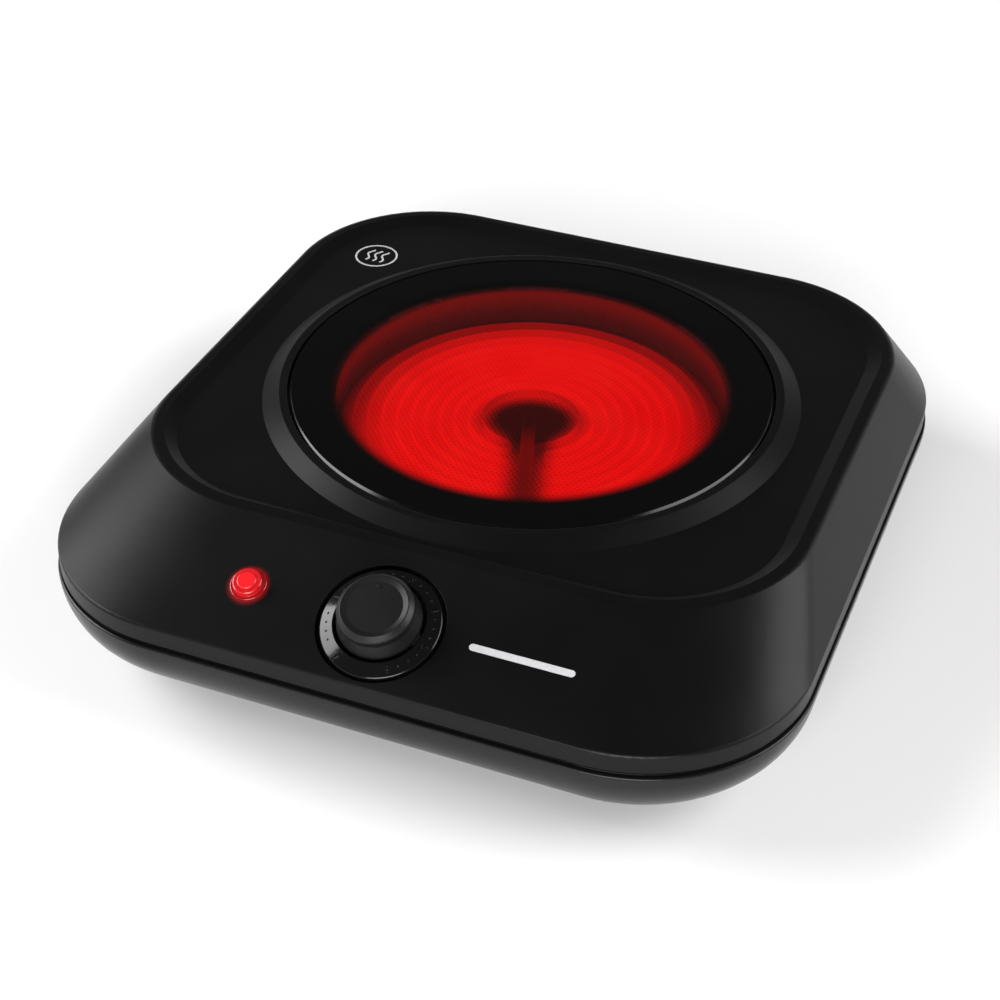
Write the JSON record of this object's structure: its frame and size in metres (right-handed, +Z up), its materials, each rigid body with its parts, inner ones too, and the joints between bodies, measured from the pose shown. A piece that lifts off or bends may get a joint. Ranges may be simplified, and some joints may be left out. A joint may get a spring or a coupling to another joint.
{
  "type": "hot plate burner",
  "caption": "Tabletop infrared hot plate: sloping painted steel housing, round glass plate over a glowing radiant heater, rotary control knob and pilot lamp.",
  "frame": {"origin": "centre of the housing's outline, on the surface that the rubber feet stand on", "axes": "+Z up, -Y towards the front with the knob, +X to the right seen from the front"},
  "size_m": [0.2816, 0.2904, 0.0672],
  "materials": {
    "cover_paint": "satin",
    "base_plastic": "satin",
    "hob_glass": "gloss",
    "silicone": "matte",
    "foot_rubber": "matte",
    "zinc_steel": "satin",
    "spring_steel": "satin",
    "shield_sheet": "satin",
    "insulation": "matte",
    "hot_ribbon": "matte",
    "quartz": "gloss",
    "steatite": "matte",
    "brass_parts": "satin",
    "case_plastic": "matte",
    "block_plastic": "matte",
    "knob_plastic": "satin",
    "dial_plastic": "gloss",
    "lamp_red": "gloss",
    "lead_brown": "satin",
    "lead_blue": "satin",
    "lead_green": "satin",
    "lead_white": "satin"
  },
  "bodies": {
    "housing": {"base_pan": "base_plastic", "base_screws": "zinc_steel", "block_screws": "zinc_steel", "control_bush": "brass_parts", "control_case": "case_plastic", "control_leaf": "brass_parts", "control_plate": "zinc_steel", "control_screws": "zinc_steel", "control_tabs": "brass_parts", "cord_gland": "foot_rubber", "cover_brackets": "zinc_steel", "dial_ring": "dial_plastic", "earth_tag": "brass_parts", "foot_front_left": "foot_rubber", "foot_front_right": "foot_rubber", "foot_rear_left": "foot_rubber", "foot_rear_right": "foot_rubber", "glass_plate": "hob_glass", "glass_seal": "silicone", "heat_shield": "shield_sheet", "heater_block": "steatite", "heater_pan": "zinc_steel", "heater_springs": "spring_steel", "heater_strap": "zinc_steel", "heater_tabs": "brass_parts", "heating_coil": "hot_ribbon", "insulation_base": "insulation", "insulation_ring": "insulation", "lamp_body": "case_plastic", "lamp_bulb": "quartz", "lamp_clip": "spring_steel", "lamp_lens": "lamp_red", "lead_clips": "case_plastic", "lead_earth": "lead_green", "lead_lamp_feed": "lead_white", "lead_lamp_return": "lead_white", "lead_live": "lead_brown", "lead_neutral": "lead_blue", "lead_switched": "lead_brown", "limiter_head": "steatite", "limiter_rod": "spring_steel", "limiter_tube": "quartz", "mains_block": "block_plastic", "mains_poles": "brass_parts", "mains_screws": "zinc_steel", "shield_screws": "zinc_steel", "strap_brackets": "zinc_steel", "strap_screws": "zinc_steel", "top_cover": "cover_paint"},
    "knob": {"control_knob": "knob_plastic", "control_shaft": "spring_steel", "control_cam": "case_plastic", "knob_spring": "spring_steel"}
  },
  "joints": [
    {"name": "knob_turn", "type": "hinge", "parent": "housing", "child": "knob", "pos_m": [0, -0.1217, 0.05194], "axis": [0, -0.3749, 0.9271], "range_deg": [-162, 138]}
  ]
}
